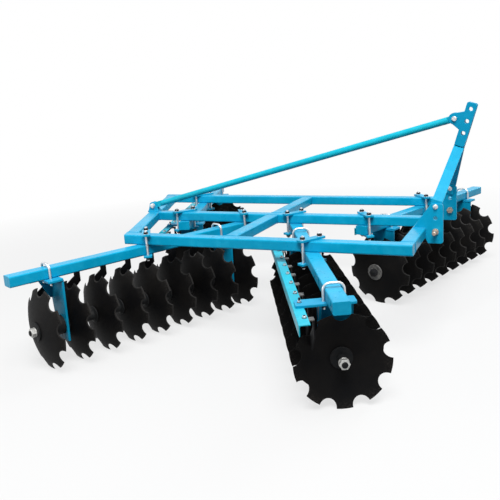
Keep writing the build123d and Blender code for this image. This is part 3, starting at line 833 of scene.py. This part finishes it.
def make_bearings(gang):
    """Cast covers over the standards' own bearing housings, with their corners lighter as a painted
    highlight.
    """
    bearings = Piece(f"bearings_{gang.name}", cast, disc_edge)
    bore = spool_radius + housing_bore_gap
    reach = housing_radius + housing_cover
    half = housing_length / 2 + housing_cover
    # The corner bands take the lighter disc edge finish: painted highlight
    # radius, height and the finish from there to the next
    rings = [
        (bore, -half, cast),
        (reach - housing_corner, -half, disc_edge),
        (reach, -half + housing_corner, cast),
        (reach, half - housing_corner, disc_edge),
        (reach - housing_corner, half, cast),
        (bore, half, cast),
    ]
    cover = lathe([(radius, height) for radius, height, finish in rings], housing_steps, True)
    finishes = [finish for radius, height, finish in rings for step in range(housing_steps)]
    for web in gang.webs:
        middle = web - gang.hollow * (housing_length - web_thickness) / 2
        bearings.add(gang.on_axle(middle), cover, finishes)
    bearings.make("frame")


# U bolts and the bolts of the rail clamps
def u_bolt_outline():
    """The middle line of a U bolt, as (back, height)."""
    low = plate_bottom - u_bolt_tail
    bend_height = beam_top + u_bolt_rise - u_bolt_radius - u_bolt_bend
    outline = [(-u_bolt_half, low)]
    for centre, start in ((-u_bolt_half + u_bolt_bend, pi), (u_bolt_half - u_bolt_bend, pi / 2)):
        for i in range(u_bolt_bend_steps + 1):
            turn = start - pi / 2 * i / u_bolt_bend_steps
            outline.append((centre + u_bolt_bend * cos(turn), bend_height + u_bolt_bend * sin(turn)))
    outline.append((u_bolt_half, low))
    return outline


def make_bolts(gang):
    """The U bolts that hold the standards, and the bolts that clamp the beam to the rails."""
    bolts = Piece(f"bolts_{gang.name}", zinc, black_bolt)
    thread_length = u_bolt_tail - u_washer_thickness - u_nut_height
    ends = (
        (disk(u_washer_radius, u_washer_thickness), u_washer_thickness, zinc),
        (hexagon(u_nut_across, u_nut_height), u_nut_height, black_bolt),
        (thread(u_bolt_radius + u_thread_proud, thread_length), thread_length, zinc),
    )
    for web in gang.webs:
        out = web + u_bolt_from_web
        path = [gang.spot(out, back, height) for back, height in u_bolt_outline()]
        bolts.add(Matrix(), bar(path, [u_bolt_radius] * len(path), gang.out, u_bolt_steps))
        for back in (-u_bolt_half, u_bolt_half):
            bolts.stack(gang.upright(out, back, plate_bottom, -1), *ends)
    bottom = beam_bottom - clamp_bar_thickness - clamp_nut_height - clamp_bolt_tail
    top = rail_top + clamp_bar_thickness + clamp_nut_height + clamp_bolt_tail
    shank = rod(clamp_bolt_radius, clamp_bolt_inset, top - bottom - clamp_bolt_inset, clamp_bolt_steps)
    nut_height = clamp_nut_height - clamp_washer_thickness
    ends = (
        (disk(clamp_washer_radius, clamp_washer_thickness), clamp_washer_thickness, zinc),
        (hexagon(clamp_nut_across, nut_height), nut_height, black_bolt),
        (thread(clamp_bolt_radius + clamp_thread_proud, clamp_bolt_tail), clamp_bolt_tail, zinc),
    )
    seats = ((rail_top + clamp_bar_thickness, 1), (beam_bottom - clamp_bar_thickness, -1))
    for rail_y in (centre_line_y, centre_line_y + gang.side * rail_pitch):
        for corner in gang.clamp_corners(rail_y):
            bolts.add(frame_of(corner + UP * bottom, gang.out, gang.back, UP), shank)
            for height, way in seats:
                bolts.stack(frame_of(corner + UP * height, gang.out, gang.back, UP * way), *ends)
    bolts.make("frame", [f"fasteners_{gang.name}"])


# Scraper bars
scraper_back = angle_back - scraper_foot_length / 2
scraper_top = plate_bottom - angle_thickness


def angle_section():
    """The angle's section, as (back, height) from the front edge of its level leg."""
    inside = angle_leg - angle_thickness
    return [
        (0, 0),
        (angle_leg - angle_corner, 0),
        (angle_leg, -angle_corner),
        (angle_leg, -angle_leg),
        (inside, -angle_leg),
        (inside, -angle_thickness - angle_root),
        (inside - angle_root, -angle_thickness),
        (0, -angle_thickness),
    ]


def foot_outline():
    """A scraper's foot from above, with its rear corners cut."""
    wide = scraper_width / 2
    deep = scraper_foot_length / 2
    cut = scraper_foot_corner
    rear = [(wide, deep - cut), (wide - cut, deep), (cut - wide, deep), (-wide, deep - cut)]
    return [(-wide, -deep), (wide, -deep)] + rear


def scraper_outline():
    """A scraper from behind, as (distance past its disc's rim, height from the angle's underside)."""
    near = scraper_from_rim - scraper_width / 2
    far = scraper_from_rim + scraper_width / 2
    tip = []
    for drop in scraper_tip_drops:
        behind = scraper_back + axle_forward
        above = scraper_top - drop - axle_height
        hollow_here = (disc_radius**2 - behind**2 - above**2) / disc_radius**2 * disc_depth
        tip.append((scraper_tip_gap - hollow_here, -drop))
    return [
        (far, 0),
        (near, 0),
        (near, -scraper_lean_start),
        tip[0],
        tip[1],
        (tip[1][0] + scraper_tip_width, -scraper_tip_drops[1]),
        (far, -scraper_lean_start - scraper_width),
    ]


def scraper_bolt(gang, foot):
    """The bolt of a scraper's foot: its place along the gang, its height and its thread's length."""
    for web in gang.webs:
        low = web - web_thickness / 2
        high = low + top_plate_width
        if low - scraper_bolt_plate_reach < foot < high + scraper_bolt_plate_reach:
            out = min(max(foot, low + scraper_bolt_plate_edge), high - scraper_bolt_plate_edge)
            return out, beam_bottom, scraper_thread_long
    return foot, plate_bottom, scraper_thread_short


def make_scrapers(gang):
    """A painted angle in the lighter copy of the blue paint, with a dark scraper, its foot paler as a
    painted highlight, and a bolt for each disc.
    """
    scrapers = Piece(f"scrapers_{gang.name}", blue_lit, scraper_steel, black_bolt, zinc, cast_painted_light)
    feet = [rim + gang.hollow * scraper_from_rim for rim in gang.rims]
    bar_start = max(feet[0] - angle_past_scrapers, angle_from_inner_end)
    bar_end = feet[-1] + angle_past_scrapers
    along = frame_of(gang.spot(bar_start, angle_back, plate_bottom), gang.back, UP, gang.out)
    scrapers.add(along, prism(angle_section(), bar_end - bar_start))
    for rim, foot in zip(gang.rims, feet):
        # The foot is paler than its blade: painted highlight
        below = gang.upright(foot, angle_back, scraper_top - scraper_thickness)
        scrapers.add(below, prism(foot_outline(), scraper_thickness), cast_painted_light)
        plane = frame_of(gang.spot(rim, scraper_back, scraper_top), gang.out * gang.hollow, UP, gang.back)
        scrapers.add(plane, prism(scraper_outline(), scraper_thickness), scraper_steel)
        out, height, thread_length = scraper_bolt(gang, foot)
        # The washer under each zinc nut is black: painted shadow round the nut
        scrapers.stack(
            gang.upright(out, angle_back + scraper_bolt_back, height),
            (disk(scraper_washer_radius, scraper_washer_thickness), scraper_washer_thickness, black_bolt),
            (hexagon(scraper_nut_across, scraper_nut_height), scraper_nut_height, zinc),
            (thread(scraper_thread_radius, thread_length), thread_length, black_bolt),
        )
    scrapers.make("frame", [f"scraper_bar_{gang.name}"])


# Weld beads
def make_gang_welds(gang):
    """Beads along the top of each standard's web and along its gusset."""
    welds = Piece(f"welds_{gang.name}", weld_paint)
    for web in gang.webs:
        for side in (-1, 1):
            out = web + side * web_thickness / 2
            front = gang.spot(out, -web_top_forward, plate_bottom)
            welds.bead(front, gang.spot(out, web_top_back, plate_bottom), top_plate_bead)
        out = web + web_thickness / 2
        middle = web_top_back - gusset_thickness
        for back in (middle - gusset_thickness / 2, middle + gusset_thickness / 2):
            corner = gang.spot(out, back, plate_bottom)
            welds.bead(corner, gang.spot(out, back, plate_bottom - gusset_drop), gusset_bead)
            welds.bead(corner, gang.spot(web + gusset_width, back, plate_bottom), gusset_bead)
    welds.make("frame")


def rear_face(y):
    """How far forward of frame_origin the oblique beam's rear face stands, at a distance to the left."""
    return -tan(radians(rear_beam_angle)) * (y + rail_pitch + tube_width / 2)


def tube_joints():
    """Where one tube ends on another, from above: two ends each, forward and left of frame_origin."""
    half = tube_width / 2
    inner = rail_pitch - half
    rear_run = tube_width / cos(radians(rear_beam_angle))
    front_face = frame_length - tube_width
    joints = [
        ((front_face, -half), (front_face, half)),
        ((rear_face(-half) + rear_run, -half), (rear_face(half) + rear_run, half)),
    ]
    for y in (-inner, inner):
        joints.append(((front_face, y), (frame_length, y)))
        joints.append(((rear_face(y), y), (rear_face(y) + rear_run, y)))
    for y in (-inner, -half, half, inner):
        joints.append(((mid_member_x, y), (mid_member_x + tube_width, y)))
    return joints


def make_frame_welds():
    """Beads round the ends of the frame's tubes, along the hitch plates and round the brace's bracket."""
    welds = Piece("welds_frame", weld_paint)
    low = beam_top + bead_inset
    high = rail_top - bead_inset
    for start, end in tube_joints():
        corners = ((*start, low), (*end, low), (*end, high), (*start, high))
        welds.bead_round([frame_origin + Vector(corner) for corner in corners], tube_bead)
    for side in (-1, 1):
        for face in (hitch_span / 2, hitch_span / 2 - hitch_plate_thickness):
            y = side * face
            back_end = frame_origin + Vector((frame_length - hitch_plate_foot, y, rail_top))
            top_end = frame_origin + Vector((frame_length, y, rail_top))
            low_end = frame_origin + Vector((frame_length, y, beam_top))
            welds.bead(back_end, top_end, hitch_bead)
            welds.bead(top_end, low_end, hitch_bead)
    low_corner, high_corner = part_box("brace_bracket")
    rear, right = low_corner.xy
    front, left = high_corner.xy
    corners = ((rear, right), (front, right), (front, left), (rear, left))
    welds.bead_round([Vector((x, y, rail_top)) for x, y in corners], bracket_bead)
    welds.make("frame")


# Bolts of the mast's feet, the mast pin and the brace bolt
def pin_ends(node, left_face):
    """Where a cross pin leaves its plates: directions with z outward and the way, right and then left."""
    low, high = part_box(node)
    middle = (low + high) / 2
    for way in (-1, 1):
        face = middle + Vector((0, way * (left_face - middle.y), 0))
        yield frame_of(face, FORWARD, UP, LEFT * way), way


def make_hitch_bolts():
    """Washers, nuts, thread ends and clips of the mast and the brace."""
    bolts = Piece("bolts_hitch", zinc, bare_steel)
    outer_face = hitch_span / 2
    inner_face = outer_face - hitch_plate_thickness - mast_bar_thickness
    foot_x = frame_length + lower_pin_reach
    foot_washer = (disk(foot_washer_radius, hitch_washer_thickness), hitch_washer_thickness, zinc)
    foot_nut = (hexagon(foot_nut_across, foot_nut_height), foot_nut_height, zinc)
    foot_thread = (thread(foot_thread_radius, foot_thread_length), foot_thread_length, bare_steel)
    for side in (-1, 1):
        for y, way in ((side * outer_face, side), (side * inner_face, -side)):
            foot = frame_origin + Vector((foot_x, y, rail_top + mast_foot_height))
            layers = [foot_washer, foot_nut]
            if way != side:
                layers.append(foot_thread)
            bolts.stack(frame_of(foot, FORWARD, UP, LEFT * way), *layers)
    clip = rod(clip_radius, 0, clip_length, clip_steps)
    for seat, way in pin_ends("mast_pin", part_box("mast_cheek_left")[1].y):
        bolts.add(seat, disk(mast_pin_washer_radius, hitch_washer_thickness))
        clip_end = seat.translation + Vector((-clip_behind, way * clip_stands_out, -clip_below))
        bolts.add(frame_of(clip_end, UP, LEFT, clip_direction), clip, bare_steel)
    brace_washer = (disk(brace_washer_radius, hitch_washer_thickness), hitch_washer_thickness, zinc)
    brace_nut = (hexagon(brace_nut_across, brace_nut_height), brace_nut_height, zinc)
    for seat, way in pin_ends("brace_bolt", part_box("brace_bracket")[1].y - ear_base_margin):
        bolts.stack(seat, brace_washer, brace_nut)
    bolts.make("frame")


for make_kind in (make_blades, make_hubs, make_bearings, make_bolts, make_scrapers, make_gang_welds):
    for gang in gangs:
        make_kind(gang)
make_frame_welds()
make_hitch_bolts()


# Light, backdrop and floor
def make_world():
    """A soft even sky, white where the camera or a reflection sees it."""
    world = bpy.data.worlds.new("sky")
    bpy.context.scene.world = world
    world.use_nodes = True
    tree = world.node_tree
    rays = tree.nodes.new("ShaderNodeLightPath")
    seen = rays.outputs["Is Camera Ray"]
    for kind in ("Is Transmission Ray", "Is Glossy Ray"):
        either = tree.nodes.new("ShaderNodeMath")
        either.operation = "MAXIMUM"
        tree.links.new(seen, either.inputs[0])
        tree.links.new(rays.outputs[kind], either.inputs[1])
        seen = either.outputs[0]
    dim = tree.nodes["Background"]
    dim.inputs["Color"].default_value = rgb(0.93, 0.97, 1.0)
    dim.inputs["Strength"].default_value = sky_strength
    white = tree.nodes.new("ShaderNodeBackground")
    white.inputs["Color"].default_value = rgb(1.0, 1.0, 1.0)
    mixed = tree.nodes.new("ShaderNodeMixShader")
    tree.links.new(seen, mixed.inputs[0])
    tree.links.new(dim.outputs[0], mixed.inputs[1])
    tree.links.new(white.outputs[0], mixed.inputs[2])
    tree.links.new(mixed.outputs[0], tree.nodes["World Output"].inputs["Surface"])


def make_floor():
    """A pale floor that keeps the shadow near the machine and fades to the white backdrop."""
    mesh = bpy.data.meshes.new("floor")
    turns = [2 * pi * i / floor_steps for i in range(floor_steps)]
    ring = [(floor_radius * cos(turn), floor_radius * sin(turn), 0) for turn in turns]
    mesh.from_pydata(ring, [], [list(range(floor_steps))])
    floor = bpy.data.objects.new("floor", mesh)
    bpy.context.scene.collection.objects.link(floor)
    shader = Shader("floor")
    shader.surface.inputs["Roughness"].default_value = 0.9
    shader.surface.inputs["Specular IOR Level"].default_value = 0.1
    path = shader.node("ShaderNodeLightPath")
    seen = shader.math("MAXIMUM", path.outputs["Is Camera Ray"], path.outputs["Is Glossy Ray"])
    pale = shader.mix(seen, rgb(0.16, 0.16, 0.17), rgb(0.56, 0.56, 0.56))
    shader.put(shader.surface.inputs["Base Color"], pale)
    away = shader.node("ShaderNodeVectorMath", {"operation": "LENGTH"}, i0=shader.place())
    far = shader.ramp(away.outputs["Value"], floor_fade[0], floor_fade[1], floor_glow, 1.0)
    backdrop = shader.node("ShaderNodeEmission", Color=rgb(1.0, 1.0, 1.0), Strength=1.0).outputs[0]
    mixed = shader.node("ShaderNodeMixShader", i0=shader.math("MULTIPLY", far, seen), i2=backdrop)
    shader.put(mixed.inputs[1], shader.surface.outputs[0])
    shader.put(shader.tree.nodes["Material Output"].inputs["Surface"], mixed.outputs[0])
    mesh.materials.append(shader.material)


def make_lamp(name, place, aim, size, watts):
    """A large soft lamp, aimed at a place."""
    data = bpy.data.lights.new(name, "AREA")
    data.shape = "DISK"
    data.size = size
    data.energy = watts
    lamp = bpy.data.objects.new(name, data)
    lamp.location = place
    lamp.rotation_euler = (Vector(aim) - Vector(place)).to_track_quat("-Z", "Y").to_euler()
    bpy.context.scene.collection.objects.link(lamp)


make_world()
make_floor()
for name, row in lamps.items():
    make_lamp(name, *row)
